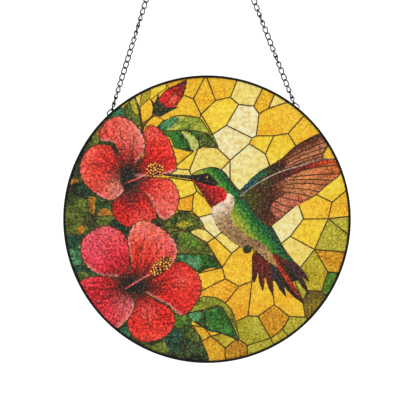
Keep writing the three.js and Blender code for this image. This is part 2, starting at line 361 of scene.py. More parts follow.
# A leaf is a dark lower half, a light upper half, its midrib and its side veins
leaves = [
    {
        "light": ("leafLight", [(-35.7, 64.3), (-29.6, 69.7), (-24.2, 72.4), (-17.4, 73.4), (-6.6, 71.8),
                                (-2.5, 68.3), (1.3, 62.2), (5.4, 57), (7.7, 50.4), (1.6, 59), (-6.6, 62.2),
                                (-17.4, 62.8), (-28.9, 62.3)]),
        "dark": ("leafDark", [(-35.7, 63.5), (-28.9, 62.3), (-17.4, 62.8), (-6.6, 62.2), (1.6, 59),
                              (7.7, 50.4), (2.7, 51.4), (-2.5, 51.4), (-6.6, 49.4), (-12.7, 48),
                              (-18.1, 49.4), (-22.8, 50.7), (-24.8, 55.5), (-28.9, 59.5)]),
        "patches": [("teal", [(-35, 64), (-29.6, 69.4), (-24, 71.8), (-19.5, 71), (-24, 66), (-29, 63)]),
                    ("leafDark", [(-28.2, 60.9), (-18.1, 61.8), (-12.5, 53), (-11.3, 49.6), (-18, 49.6),
                                  (-24.4, 55.5)]),
                    ("leafPale", [(-18, 62), (-12, 60.5), (-7, 55.5), (-5.9, 50.4), (-11, 49), (-13, 54)]),
                    ("moss", [(-6, 61.5), (2, 57), (7, 51.3), (1, 51.8), (-4, 51.6)])],
        "midrib": [(-37, 62.9), (-28.9, 62.3), (-17.4, 62.8), (-6.6, 62.2), (1.6, 59), (7.7, 50.4)],
        "veins": [[(-27, 62.4), (-21, 67), (-15, 71)], [(-15, 62.8), (-9, 66), (-5, 70)],
                  [(-20, 62.6), (-14, 56), (-11.3, 49)], [(-10, 62.4), (-6.5, 57), (-5.5, 50.6)]],
    },
    {
        "light": ("moss", [(-30, -6), (-28, -1), (-24.8, 0.8), (-19.4, 5.8), (-14, 5.2), (-6.6, 1.3),
                           (-2.5, -4.5), (-6.6, -6.5), (-13.3, -8.7), (-20, -7)]),
        "dark": ("moss", [(-28.2, -6), (-20, -7), (-13.3, -8.7), (-19.4, -10.5), (-26, -10.5)]),
        "patches": [("lime", [(-22, -3), (-15, -1.5), (-10, -3.5), (-14, -5.5), (-20, -5.5)])],
        "midrib": [(-29, -5), (-20, -7), (-13.3, -8.7)],
        "veins": [[(-24, -5.6), (-18, -1), (-14, 4)], [(-18, -7.2), (-12, -3), (-8, 0.6)]],
    },
    {
        "light": ("moss", [(-26, -10.5), (-19.4, -8.3), (-13.3, -8.9), (-6, -13.5), (-0.5, -16.2), (2, -20),
                           (5.4, -26.1), (9.9, -34), (2.1, -25.5), (-9, -24.6), (-21, -24.5)]),
        "dark": ("leafDark", [(-21, -24.5), (-9, -24.6), (2.1, -25.5), (10.1, -34.3), (4, -34),
                              (-1.4, -35.6), (-5.9, -37.5), (-9.3, -35.4), (-14.7, -31), (-20.1, -29.5)]),
        "patches": [("teal", [(-19, -25.5), (-9, -25.6), (-4, -29), (-6, -35.5), (-12, -32.5), (-18, -29)]),
                    ("green", [(-17, -10.5), (-11, -12), (-6, -17.5), (-10, -21), (-16, -18)])],
        "midrib": [(-22, -24.5), (-9, -24.6), (2.1, -25.8), (10.1, -34.3)],
        "veins": [[(-17, -24.5), (-12, -18), (-11, -11)], [(-6, -24.8), (-2, -20), (-0.5, -17)],
                  [(-12, -24.6), (-8, -29), (-7, -35)], [(-2, -25.2), (2, -29), (4, -33)]],
    },
    {
        "light": ("leafMid", [(-14, -66.5), (-7.9, -60), (-4, -55.2), (1.5, -54.8), (7.4, -55.9),
                                (12.8, -59.3), (18.2, -66.1), (20.3, -73.5), (22.6, -85.4), (15, -71),
                                (9.4, -61.5), (-2, -64)]),
        "dark": ("forest", [(-14, -66.5), (-2, -64), (9.4, -61.5), (15, -71), (22.6, -85.4), (15.5, -82.6),
                            (6.7, -79.8), (2, -79), (-5.9, -74.6), (-12, -70.4)]),
        "patches": [("teal", [(-13, -67), (-6, -65.2), (-4, -69), (-8, -72.5), (-12, -70)]),
                    ("leafDark", [(0, -65), (10, -64), (16, -74), (20.5, -82.5), (10, -79.6), (1, -77)])],
        "midrib": [(-15, -67), (-2, -64), (9.4, -61.5), (16, -71), (22.6, -85.4)],
        "veins": [[(-6, -64.8), (-2, -60), (0, -55.4)], [(2, -63.2), (7, -60.5), (11, -58.8)],
                  [(1, -63.4), (2, -70), (0, -77.6)], [(9, -63), (10, -71), (8, -79.6)]],
    },
]

# Petals from the back to the front: tone, blush, the stretches that roll over to pale, and outline
flowers = [
    {
        "throat": (-56, 29), "size": (7, 9.5),
        "column": [(-57.4, 25.7), (-50, 28.5), (-43.1, 31.8)], "anthers": (-37, 34.5), "spread": (6, 5, 25),
        "tips": (-30.5, 41),
        "petals": [
            ("deep", (-40, 61, 8, "ee6e60"), [(6, 8)],
             [(-52, 34), (-44.3, 46), (-44.5, 61), (-39, 66.3), (-28.5, 58.5),
              (-22.5, 44), (-22.6, 34), (-36, 30.3), (-50, 30)]),
            ("deep", (-44, -1, 9, "ea6862"), [],
             [(-57, 20.5), (-66.5, 12), (-65, 1), (-55.5, -5.6), (-45, -3), (-36.3, 1),
              (-37, 8), (-43, 17.5), (-50, 20)]),
            ("coral", (-31, 10, 9, "ee7a78"), [(1, 4)],
             [(-50, 22), (-42, 16.5), (-37, 7), (-31, -0.7), (-22.5, 4.5),
              (-19.7, 16), (-24.5, 26.5), (-33, 29.2), (-46, 27.5)]),
            ("coral", (-65, 20, 10, "f09888"), [(6, 8)],
             [(-61, 31), (-64, 45), (-70, 52.5), (-82, 51), (-89.5, 40), (-88, 27.5),
              (-78, 17.5), (-67.5, 13.3), (-59, 19.5), (-61, 27)]),
            ("coral", (-52, 61, 12, "f2948a"), [(2, 3), (6, 9)],
             [(-56.5, 37), (-61, 45), (-66.5, 54), (-75.5, 56), (-73.5, 67),
              (-63.5, 72.7), (-53, 69), (-45, 59), (-44, 50), (-49, 41)]),
        ],
        "folds": [[(-61.4, 65), (-60.7, 58), (-57.4, 49.4)], [(-52, 60), (-52.5, 50), (-54.5, 42)],
                  [(-80, 40), (-72, 35), (-65, 31)], [(-80, 27), (-72, 26), (-64, 27)],
                  [(-36, 55), (-40, 45), (-45, 38)], [(-55, 8), (-54, 14), (-53, 19)],
                  [(-28, 14), (-36, 19), (-44, 23)]],
    },
    {
        "throat": (-52, -47), "size": (10, 7),
        "column": [(-58, -49.2), (-50, -44.5), (-40.4, -39)], "anthers": (-32.3, -32.9),
        "spread": (8.5, 4.5, 38), "tips": (-25.5, -24.5),
        "petals": [
            ("deep", (-42, -66, 7, "ea6660"), [],
             [(-49, -54), (-51, -61), (-56.2, -73), (-52, -83), (-42.5, -87), (-29, -82.5),
              (-22.6, -73), (-25.5, -64), (-34, -58.3), (-43, -55)]),
            ("rose", (-58, -63, 8, "f08088"), [(1, 3)],
             [(-58, -50), (-51.3, -58), (-54, -68), (-64, -77), (-80, -72), (-93, -50),
              (-86, -42), (-76, -40.5), (-64, -42)]),
            ("deep", (-17, -44, 9, "ea5c54"), [(7, 10)],
             [(-45.5, -49), (-38, -41), (-23, -31), (-14.5, -31.5), (-5.5, -41),
              (-4.3, -51.5), (-10, -62.5), (-19, -68), (-27.5, -61), (-35, -57),
              (-42, -53)]),
            ("coral", (-27, -19, 8, "ea6a74"), [(1, 3), (5, 7)],
             [(-53, -41), (-54.2, -28), (-56.2, -14), (-51, -3), (-41, -1.5),
              (-26, -11.5), (-20.9, -22), (-25, -33), (-36, -39.5), (-48, -42)]),
            ("rose", (-80, -20, 11, "e25472"), [(7, 9)],
             [(-59, -41), (-54.8, -31), (-56.8, -14), (-64, -7), (-74, -4.8),
              (-86, -12), (-89.3, -21), (-86, -32), (-76, -39.5), (-64, -41)]),
        ],
        "folds": [[(-44, -10), (-46, -22), (-49, -36)], [(-31, -18), (-38, -28), (-45, -38)],
                  [(-78, -18), (-70, -28), (-62, -38)], [(-14, -45), (-26, -46), (-38, -48)],
                  [(-40, -78), (-43, -68), (-46, -58)], [(-78, -60), (-70, -54), (-62, -50)],
                  [(-60, -70), (-59, -62), (-57, -54)]],
    },
]
petalTones = {
    "coral": ("2a0a0c", "541014", "a02026", "d23630", "e25044", "ea7a70"),
    "deep": ("240a0c", "4c0c10", "901418", "c62022", "da302a", "e44c42"),
    "rose": ("2a0a0c", "500e16", "941a26", "c62838", "d63e4a", "e0626a"),
}

bud = {
    "outline": [(-14.7, 98.1), (-15.4, 93.4), (-16.7, 88), (-20.1, 82.6), (-22.8, 79.2), (-27.6, 78.5),
                (-32.3, 78.5), (-35.7, 80.5), (-35, 83.2), (-32.3, 87.3), (-27.6, 92.1), (-21.5, 94.8)],
    "blush": [(-27.6, 82.6), (-22.8, 88.7), (-20.8, 85.3), (-24.2, 79.9)],
    "calyx": [(-39.1, 73.1), (-38.1, 78.5), (-39.7, 84.6), (-37, 81.9), (-34.3, 88.7), (-33.7, 81.9),
              (-30.9, 82.6), (-29.6, 78.5), (-26.2, 79.2), (-20.1, 79.2), (-25.5, 76.5), (-29.6, 74.4),
              (-33, 72.4), (-37.7, 73.8)],
    "stems": [[(-49.5, 82), (-47.9, 77.1), (-46.5, 69), (-45.8, 60)],
              [(-36, 74.5), (-40.4, 71.1), (-44.5, 66.3), (-45.8, 60)]],
}

bird = {
    "body": [(-11.3, 30.8), (-7.2, 33.8), (-1.4, 35.8), (4, 36.6), (8.8, 35.5), (13.2, 32.1), (15.9, 27.7),
             (18.9, 24.3), (23.7, 19.9), (31, 17), (37, 9), (38.6, -1), (45.3, -5.1), (48.7, -10.5),
             (52.1, -16.6), (56.2, -23.4), (61, -29.8), (55, -28.4), (49, -24.5), (46, -25), (49, -33),
             (43, -29.5), (36.5, -23.5), (30, -21.5), (25, -20.7), (17.6, -15.3), (10.1, -9.2), (5.4, -1.7),
             (3.6, 4), (2.7, 8.1), (-3.8, 18.2), (-7.2, 23.6), (-11.3, 28.2)],
    "belly": [(13.6, 18), (17.5, 17.4), (19.6, 12.6), (18.2, 8), (16.8, 3), (18.4, -1.8), (21, -4.6),
              (25.7, -9.2), (30.4, -13.3), (36.5, -15.3), (41.5, -19.2), (46, -25), (49.5, -33.5),
              (43, -29.5), (36.5, -23.5), (30, -21.5), (25, -20.7), (17.6, -15.3), (10.1, -9.2),
              (5.4, -1.7), (3.6, 4), (2.7, 8.1), (7, 12)],
    "gorget": [(-11.3, 28.4), (-7.2, 23.6), (-3.8, 18.2), (2.4, 8.6), (5.5, 9.4), (8.8, 11.5), (12.8, 13.7),
               (14, 17.5), (11.5, 21.6), (6, 23.6), (-1.4, 25)],
    "mask": [(-12, 30.6), (-5, 31.8), (1, 32.4), (4.4, 29), (8.2, 25.2), (5, 23.4), (-2, 25), (-9, 27.6)],
    "beak": [(-31, 31.5), (-21, 30.6), (-10, 29.4)],
    "eye": (0.6, 28.8), "foot": (28.4, -21.4),
    "rearWing": [(23.7, 20.2), (27, 23.6), (30.4, 27.7), (37.2, 33.8), (44.7, 37.9), (52.8, 42.6),
                 (62.3, 51.4), (70.4, 56.2), (79.2, 60.2), (81.8, 58.4), (82.8, 55.5), (85, 52.1),
                 (82, 46.7), (80.6, 42.4), (66, 38), (52, 33), (38, 27), (29, 20.5)],
    "rearRoot": [(23.7, 20.2), (30.4, 27.7), (37.2, 33.8), (44.7, 37.9), (52.8, 42.6), (56, 38), (50, 32.5),
                 (38, 26.5), (28, 19)],
    "frontWing": [(22.5, 16), (33, 23.5), (42, 28.8), (52.8, 33.6), (66.3, 37.7), (75.1, 40.5),
                  (82.6, 42.2), (91.6, 42.4), (94.3, 40), (95.1, 35.8), (93.4, 31.1), (88.7, 27),
                  (83.3, 23), (76.5, 16.9), (66.3, 11.4), (58.2, 6), (52.1, 0.6), (47.4, -3.1),
                  (44.3, -5.2), (40.6, -1.7), (35.2, 2.4), (32, 6.5), (29.1, 10.8), (26.5, 14)],
    "leadBand": [(38, 24.5), (50, 30.4), (60, 34), (72, 38), (88, 41.5)],
    "quill": [(23.2, 16.4), (33, 23.6), (42, 28.9), (52.8, 33.8), (66.3, 37.9), (75.1, 40.7), (82.6, 42.3),
              (91.6, 42.5)],
    "wingLines": [[(58, 32), (75, 36.2), (93.5, 38.4)], [(59, 29.6), (76, 31.4), (94.4, 32.2)],
                  [(58, 27.7), (73, 28), (89.4, 27.4)], [(56.2, 24.6), (70, 25.4), (84.6, 24)],
                  [(54.8, 22.3), (67, 21.4), (79.6, 19.4)], [(52.8, 19.4), (63, 18.2), (74.6, 15.8)],
                  [(50.1, 16.2), (59, 14), (68, 12.2)], [(47.4, 12.8), (54, 10), (61, 7.6)],
                  [(45.3, 9.4), (51, 6.4), (56.4, 4)], [(43.3, 5.8), (47, 2.6), (51.6, 0)],
                  [(46, 31), (52, 28), (57, 26)], [(38, 20), (44, 17), (50, 14)]],
    "rearLines": [[(50, 40.2), (65, 49.6), (80.6, 58.6)], [(52, 39.6), (67, 47.8), (83, 54.4)],
                  [(54, 38.4), (69, 45.6), (84.6, 51)], [(56.5, 37.4), (70, 43), (83, 47)],
                  [(60, 37.4), (71, 41.4), (81.4, 44.2)]],
    "tailBase": [(32.6, -24), (40, -24), (46, -21), (52, -24.5), (60, -28.5), (66, -41), (61, -44),
                 (52, -44), (44, -43), (36, -38), (32.3, -34)],
    # Root, middle and tip of each tail feather, its width and its two colours
    "tail": [
        ([(34.4, -24.5), (34, -34), (33.2, -45)], 4.2, ("6a1722", "431019")),
        ([(37.2, -26), (38.2, -38), (39.4, -50.6)], 4.2, ("7c1a24", "4d121b")),
        ([(40.8, -27), (43.4, -40), (46.6, -54)], 4.4, ("7c1a24", "471018")),
        ([(45.4, -30), (50, -42), (55.6, -54.6)], 4.4, ("3a3f48", "23282e")),
        ([(56.6, -29), (65, -41), (72, -53)], 3.6, ("4b3a44", "2b2830")),
        ([(59.4, -29.4), (66, -36.5), (72, -44)], 3.2, ("57303a", "33222a")),
        ([(50, -30), (56, -40), (62, -49)], 4, ("3b1a22", "2a161c")),
        ([(49, -37), (58, -49), (68, -59.6)], 3.4, ("3d2028", "2a1a20")),
        ([(42.6, -19.6), (54, -38), (68.6, -60)], 3.2, ("9c2026", "c04024", "701a20")),
        ([(47, -21.5), (52, -27), (57, -33)], 3.4, ("8e1c28", "5a1520")),
    ],
}


# How the picture is drawn and printed, in millimetres
picture = {
    "paneRadius": 100.7, "turn": -2.0,            # how far the print sits round in its rim, in degrees
    "groundLine": 0.48, "outline": 0.4, "fineLine": 0.24, "featherLine": 0.42,
    "ruffle": 0.6, "paleRoll": 1.8, "mottle": 11.0, "dapple": 3.2, "busy": 0.6, "seed": 7,
    "strength": 0.975, "darken": 0.018,           # how strongly paints print, and what the painted glints on the pebbles add back
    "stem": 0.8, "budBusy": 0.4, "budLine": 1.4, "well": (2.3, 2.0),
}
turnCos = math.cos(math.radians(picture["turn"]))
turnSin = math.sin(math.radians(picture["turn"]))


def laid(points):
    points = np.atleast_2d(np.array(points, float))
    return points @ np.array([[turnCos, turnSin], [-turnSin, turnCos]])


# A Catmull-Rom curve through the points
def smoothLine(points, closed=False, step=0.9):
    knots = np.array(points, float)
    count = len(knots)
    pieces = []
    for i in range(count if closed else count - 1):
        at = [(i + k) % count if closed else min(max(i + k, 0), count - 1) for k in (-1, 0, 1, 2)]
        a, b, c, d = knots[at]
        parts = max(2, int(np.hypot(*(c - b)) / step))
        t = np.linspace(0, 1, parts, endpoint=False)[:, None]
        pieces.append(0.5 * (2 * b + (c - a) * t + (2 * a - 5 * b + 4 * c - d) * t ** 2
                             + (3 * b - a - 3 * c + d) * t ** 3))
    if not closed:
        pieces.append(knots[-1:])
    return np.vstack(pieces)


def straightLine(points, closed=False, step=0.9):
    knots = np.array(points, float)
    ends = np.vstack([knots, knots[:1]]) if closed else knots
    pieces = []
    for a, b in zip(ends, ends[1:]):
        parts = max(1, int(round(np.hypot(*(b - a)) / step)))
        pieces.append(a + (b - a) * np.linspace(0, 1, parts, endpoint=False)[:, None])
    if not closed:
        pieces.append(ends[-1:])
    return np.vstack(pieces)


def outlineOf(points):
    return smoothLine(laid(points), True)


def lineOf(points):
    return smoothLine(laid(points))


def wayAlong(line):
    return np.concatenate([[0], np.cumsum(np.hypot(*np.diff(line, axis=0).T))])


def sideways(line, closed=False):
    ahead = np.roll(line, -1, 0) - np.roll(line, 1, 0) if closed else np.gradient(line, axis=0)
    side = np.column_stack([ahead[:, 1], -ahead[:, 0]])
    return side / np.maximum(np.hypot(*side.T), 1e-9)[:, None]


# The outline of a band along a line, whose width follows the list of widths from end to end
def ribbon(points, widths, step=0.9):
    line = smoothLine(points, step=step)
    way = wayAlong(line)
    half = np.interp(way / way[-1], np.linspace(0, 1, len(widths)), widths) / 2
    side = sideways(line) * half[:, None]
    return np.vstack([line + side, (line - side)[::-1]])


def ellipse(centre, width, height, turn=0, count=28):
    angle = np.linspace(0, 2 * math.pi, count, endpoint=False)
    ring = np.column_stack([np.cos(angle) * width, np.sin(angle) * height])
    c, s = math.cos(math.radians(turn)), math.sin(math.radians(turn))
    return ring @ np.array([[c, s], [-s, c]]) + np.array(centre)


# The frill of a petal's free edge, which dies away towards the throat
def frilled(outline, throat, depth):
    way = wayAlong(outline)
    wave = 0.6 * np.sin(way * 2 * math.pi / 4.3) + 0.4 * np.sin(way * 2 * math.pi / 2.5 + 1)
    far = np.clip((np.hypot(*(outline - throat).T) - 12) / 14, 0, 1)
    return outline + sideways(outline, True) * (depth * wave * far)[:, None]


# A soft, ragged edge where one tract of feathers or one brush stroke runs into the next
def feathered(outline, depth):
    way = wayAlong(outline)
    wave = np.sin(way * 2 * math.pi / 2.3) + 0.7 * np.sin(way * 2 * math.pi / 1.45 + 2)
    return outline + sideways(outline, True) * (depth * wave)[:, None]


# Even-odd test of many points against one outline
def inside(outline, points):
    result = np.zeros(len(points), bool)
    low = outline.min(0)
    high = outline.max(0)
    near = np.flatnonzero(((points >= low) & (points <= high)).all(1))
    x, z = points[near].T
    odd = np.zeros(len(near), bool)
    for (ax, az), (bx, bz) in zip(outline, np.roll(outline, -1, 0)):
        if az != bz:
            odd ^= ((az > z) != (bz > z)) & (x < (bx - ax) * (z - az) / (bz - az) + ax)
    result[near] = odd
    return result


# Distance from every point to the nearest point of a finely spaced line
def nearness(points, line):
    best = np.full(len(points), 1e9)
    for spot in line:
        best = np.minimum(best, np.hypot(*(points - spot).T))
    return best


# Smooth random values over the plane, from -1 to 1
class Wander:
    def __init__(self, seed, size):
        self.grid = np.random.default_rng(seed).uniform(-1, 1, (256, 256))
        self.size = size

    def __call__(self, points):
        place = np.asarray(points) / self.size + 128
        whole = np.floor(place).astype(int)
        part = place - whole
        u, v = (part * part * (3 - 2 * part)).T
        i, j = whole.T % 256
        k, l = (i + 1) % 256, (j + 1) % 256
        near = self.grid[i, j] * (1 - u) + self.grid[k, j] * u
        return near * (1 - v) + (self.grid[i, l] * (1 - u) + self.grid[k, l] * u) * v


broad = Wander(picture["seed"], picture["mottle"])
dapple = Wander(picture["seed"] + 1, picture["dapple"])
streaks = Wander(picture["seed"] + 2, 1.0)
relief = Wander(picture["seed"] + 3, 1.9)


# Shades, each a function from points to linear colours
def stops(values, places, codes):
    colours = np.array([colourOf(code) for code in codes])
    return np.column_stack([np.interp(values, places, colours[:, k]) for k in range(3)])


def glass(paint, shift=0, busy=0.22):
    def shade(points):
        share = 0.45 + 0.5 * broad(points + shift) + busy * dapple(points * (1, 1.4))
        return stops(share, (0, 1), paints[paint])
    return shade


def across(start, end, codes, streak=0.12):
    start, end = laid(start)[0], laid(end)[0]
    axis = (end - start) / np.sum((end - start) ** 2)

    def shade(points):
        share = (points - start) @ axis + 0.06 * broad(points * 1.7)
        colour = stops(share, np.linspace(0, 1, len(codes)), codes)
        return colour * (1 + streak * dapple(points * 1.6))[:, None]
    return shade


def around(centre, places, codes, streak=0.1):
    centre = laid(centre)[0]

    def shade(points):
        away = points - centre
        far = np.hypot(*away.T)
        angle = np.arctan2(away[:, 1], away[:, 0])
        line = streaks(np.column_stack([angle * 22, far / 9]))
        colour = stops(far + 1.2 * dapple(points), places, codes)
        return colour * (1 + streak * line)[:, None]
    return shade


def petalShade(outline, throat, size, tone, blush, rolls):
    throat = laid(throat)[0]
    pale = np.array(colourOf("eeb0a6"))
    blushX, blushZ, blushSize, blushCode = blush
    heart = laid((blushX, blushZ))[0]
    bright = np.array(colourOf(blushCode))

    def shade(points):
        away = points - throat
        ring = np.hypot(away[:, 0] / size[0], away[:, 1] / size[1])
        angle = np.arctan2(away[:, 1], away[:, 0])
        far = np.hypot(*away.T)
        line = streaks(np.column_stack([angle * 26 + 40, far / 7]))
        fine = streaks(np.column_stack([angle * 60, far / 5 + 30]))
        depth = ring + 0.35 * line * np.clip(ring, 0, 2)
        colour = stops(depth, (0.7, 1.05, 1.75, 2.7, 4.2, 6.2), petalTones[tone])
        colour = colour * (1 + 0.26 * line + 0.14 * fine + 0.2 * dapple(points))[:, None]
        glow = np.exp(-(np.hypot(*(points - heart).T) / blushSize) ** 2)
        edge = np.clip(1 - nearness(points, outline) / 5.5, 0, 1) * np.clip(far / 40, 0, 1)
        blend = (glow * (0.55 + 0.4 * fine) + 0.12 * edge * (0.5 + 0.5 * broad(points * 2)))[:, None]
        colour = colour + (bright - colour) * np.clip(blend, 0, 1)
        for roll in rolls:
            blend = np.clip(1.3 - nearness(points, roll) / picture["paleRoll"] + 0.25 * fine, 0, 1)
            colour = colour + (pale - colour) * (0.55 * blend)[:, None]
        return colour
    return shade


# Areas lie from the back to the front, and a line is hidden by the areas laid after it
areas = []
marks = []


def mark(line, halfWidth):
    marks.append({"line": line, "width": halfWidth, "over": len(areas)})


def markAll(drawn, halfWidth):
    for points in drawn:
        mark(lineOf(points), halfWidth)


def lay(outline, shade, stroke=0.0):
    areas.append({"outline": outline, "shade": shade})
    if stroke:
        mark(np.vstack([outline, outline[:1]]), stroke)


def layGround():
    edges = set()
    for i, (paint, names) in enumerate(groundCells):
        corners = names.split()
        lay(straightLine(laid([junctions[n] for n in corners]), True), glass(paint, 17.0 * i))
        edges |= {tuple(sorted(pair)) for pair in zip(corners, corners[1:] + corners[:1])}
    for pair in sorted(edges):
        mark(straightLine(laid([junctions[n] for n in pair])), picture["groundLine"])


def layFoliage():
    lay(outlineOf(foliageWash), glass("forest", 5.0, picture["busy"]), picture["fineLine"])
    for i, (paint, outline) in enumerate(foliage):
        lay(outlineOf(outline), glass(paint, 3.0 * i, picture["busy"]), picture["fineLine"])
    for i, (paint, outline) in enumerate(budCells):
        lay(straightLine(laid(outline), True), glass(paint, 29.0 * i, picture["budBusy"]),
            picture["fineLine"] * picture["budLine"])


def layLeaves():
    for i, leaf in enumerate(leaves):
        for part in ("light", "dark"):
            paint, outline = leaf[part]
            lay(outlineOf(outline), glass(paint, 7.0 * i, picture["busy"]), picture["outline"])
        for paint, outline in leaf["patches"]:
            lay(feathered(outlineOf(outline), 0.5), glass(paint, 11.0 * i, picture["busy"]))
        mark(lineOf(leaf["midrib"]), picture["outline"])
        markAll(leaf["veins"], picture["fineLine"])
    deep = across((-34, 78), (-16, 98), ("c0222c", "dc3034", "9c1a22", "521018"), 0.3)
    lay(outlineOf(bud["outline"]), deep, picture["outline"])
    blush = across((-27, 81), (-20, 88), ("e0443e", "ee6a5c"), 0.2)
    lay(outlineOf(bud["blush"]), blush, picture["fineLine"])
    markAll(bud["stems"], picture["stem"])
    lay(straightLine(laid(bud["calyx"]), True), glass("night", 2.0), picture["fineLine"])
    mark(lineOf([(-31, 80), (-25, 87), (-17, 95)]), picture["fineLine"])


def layFlower(flower):
    throat = laid(flower["throat"])[0]
    well = ellipse(throat, *np.array(flower["size"]) * picture["well"])
    lay(well, petalShade(well, flower["throat"], flower["size"], "deep", (0, 0, 1, "000000"), []))
    for tone, blush, ranges, points in flower["petals"]:
        points = laid(points)
        outline = frilled(smoothLine(points, True), throat, picture["ruffle"])
        rolls = [smoothLine(points[a:b + 1]) for a, b in ranges]
        shade = petalShade(outline, flower["throat"], flower["size"], tone, blush, rolls)
        lay(outline, shade, picture["outline"])
    markAll(flower["folds"], picture["fineLine"] * 0.8)
    under = ellipse(laid(flower["anthers"])[0], *np.array(flower["spread"][:2]) * 1.05, flower["spread"][2])
    lay(feathered(under, 0.3), glass("umber", 4.0, 0.5))
    coral = across(flower["column"][0], flower["column"][-1], ("b03a3c", "dc6a60", "e8877a"), 0.1)
    lay(ribbon(laid(flower["column"]), (0.9, 1.2, 1.0)), coral)


# One tract of plumage, in colours that run from one place to another
def layTract(part, start, end, codes, streak=0.12, stroke=0.0, soft=0.0):
    outline = outlineOf(bird[part])
    if soft:
        outline = feathered(outline, soft)
    lay(outline, across(start, end, codes, streak), stroke)


def layBird():
    outline = picture["outline"]
    fine = picture["fineLine"]
    layTract("tailBase", (34, -30), (64, -34), ("4a141c", "3a1a22", "2c2228"))
    for points, width, codes in bird["tail"]:
        feather = ribbon(laid(points), np.array((0.6, 0.95, 1, 0.85, 0.1)) * width)
        lay(feather, across(points[0], points[-1], codes, 0.35), fine)
        mark(lineOf(points), fine * 0.6)
    rear = ("4c2a24", "703c2e", "a86848", "c08260", "a86450")
    layTract("rearWing", (61, 51), (68, 38.5), rear, 0.2, outline)
    markAll(bird["rearLines"], picture["featherLine"])
    root = ("1d3f52", "1a5a5c", "2c6238", "3c3826", "4c2a24")
    layTract("rearRoot", (26, 20), (54, 40), root, 0.25, soft=0.4)
    green = ("b0b040", "94a83c", "4c9038", "16603a", "0e3c48")
    layTract("body", (15, -1), (32, 12), green, 0.3, outline)
    belly = ("ece0d0", "a88a66", "9a7c58", "8c6c50", "b89660")
    layTract("belly", (13, 16), (44, -28), belly, 0.3, soft=0.45)
    red = ("cc2a32", "b01a24", "7c121c", "461016")
    layTract("gorget", (8, 21), (-3, 12), red, 0.35, soft=0.3)
    layTract("mask", (-8, 30), (7, 25), ("2c2c22", "1c1c18", "3c3424"))
    beakShade = across((-30, 31), (-10, 29), ("1c1c1a", "3c4040", "20221e"))
    lay(ribbon(laid(bird["beak"]), (1.1, 2.1, 3.0)), beakShade)
    lay(ellipse(laid(bird["eye"])[0], 2.5, 2.3), glass("night"), fine)
    lay(ellipse(laid(np.array(bird["eye"]) + (-0.6, 0.8))[0], 0.55, 0.5, count=10), glass("cream"))
    lay(ellipse(laid(bird["foot"])[0], 3, 2.9), glass("night"), fine)
    feathers = ("56602a", "4a4220", "4c2c24", "7c4430", "c07c58", "cc8454", "b4582e")
    wing = around((27, 13), (0, 9, 19, 26, 33, 50, 72), feathers, 0.3)
    lay(outlineOf(bird["frontWing"]), wing, outline)
    lower = ("b0604e", "c47a62", "b8644e")
    lay(outlineOf([(45, 8), (52, 16), (60, 17), (70, 13.5), (58, 6.5), (50, 0)]),
        across((46, 4), (66, 14), lower, 0.3))
    band = across((40, 24), (88, 41), ("4c4a26", "4c2a22", "6a2420", "9c3020", "c04c26"), 0.35)
    lay(feathered(ribbon(laid(bird["leadBand"]), (9, 8, 6, 4.5, 3)), 0.3), band)
    markAll(bird["wingLines"], picture["featherLine"])
    quill = across((24, 17), (90, 42), ("8f9c86", "b9b4a2", "a89a8c", "6c5c54"), 0.15)
    lay(ribbon(laid(bird["quill"]), (0.9, 1.1, 1.1, 1.1, 0.8)), quill, fine * 0.6)


layGround()
layFoliage()
layLeaves()
layBird()
for flower in flowers:
    layFlower(flower)
lay(ribbon(laid(bird["beak"][:2]), (1.1, 2.1)), across((-30, 31), (-10, 29), ("1c1c1a", "3c4040")))
print(len(areas), "areas and", len(marks), "lines in the picture")


# Glass pane, its print in a colour for each corner of its faces
pane = {
    "thickness": 3.0, "relief": 0.09, "fill": 0.86, "backFill": 1.7, "ringSteps": 480, "keepOff": 0.43,
    "grain": 620, "cloud": 300, "pebbles": 480, "pebbleDepth": 0.25, "pebbleStrength": 0.5,
}


def fillPoints(spacing, radius, taken):
    rows = np.arange(-radius, radius, spacing * 0.866)
    row = np.arange(-radius, radius, spacing)
    grid = [np.column_stack([row + spacing / 2 * (j % 2), np.full(len(row), z)])
            for j, z in enumerate(rows)]
    grid = np.vstack(grid)
    grid = grid + np.random.default_rng(picture["seed"]).uniform(-0.12, 0.12, grid.shape) * spacing
    grid = grid[np.hypot(*grid.T) < radius - spacing / 2]
    size = pane["keepOff"]
    cells = np.floor(taken / size).astype(int)
    near = {(i + a, j + b) for i, j in cells for a in (-1, 0, 1) for b in (-1, 0, 1)}
    return np.array([p for p in grid if (int(p[0] // size), int(p[1] // size)) not in near])


def triangulate(spacing):
    # The ring comes first, then the corners of every area's outline, then the fill
    turn = np.linspace(0, 2 * math.pi, pane["ringSteps"], endpoint=False)
    ring = np.column_stack([np.cos(turn), np.sin(turn)]) * picture["paneRadius"]
    points = [ring]
    edges = [(i, (i + 1) % len(ring)) for i in range(len(ring))]
    start = len(ring)
    for area in areas:
        outline = area["outline"]
        count = len(outline)
        within = np.hypot(*outline.T) < picture["paneRadius"] - 0.6
        edges += [(start + i, start + (i + 1) % count)
                  for i in range(count) if within[i] and within[(i + 1) % count]]
        points.append(np.where(within[:, None], outline, 0))
        start += count
    taken = np.vstack(points)
    points = np.vstack([taken, fillPoints(spacing, picture["paneRadius"], taken)])
    found = delaunay_2d_cdt([Vector(p) for p in points], edges, [], 0, 1e-5, False)
    places = np.array([tuple(p) for p in found[0]])
    faces = np.array(found[2])
    a, b, c = places[faces[:, 0]], places[faces[:, 1]], places[faces[:, 2]]
    twice = (b[:, 0] - a[:, 0]) * (c[:, 1] - a[:, 1]) - (b[:, 1] - a[:, 1]) * (c[:, 0] - a[:, 0])
    faces[twice < 0] = faces[twice < 0][:, ::-1]
    return places, faces[np.abs(twice) > 1e-7]


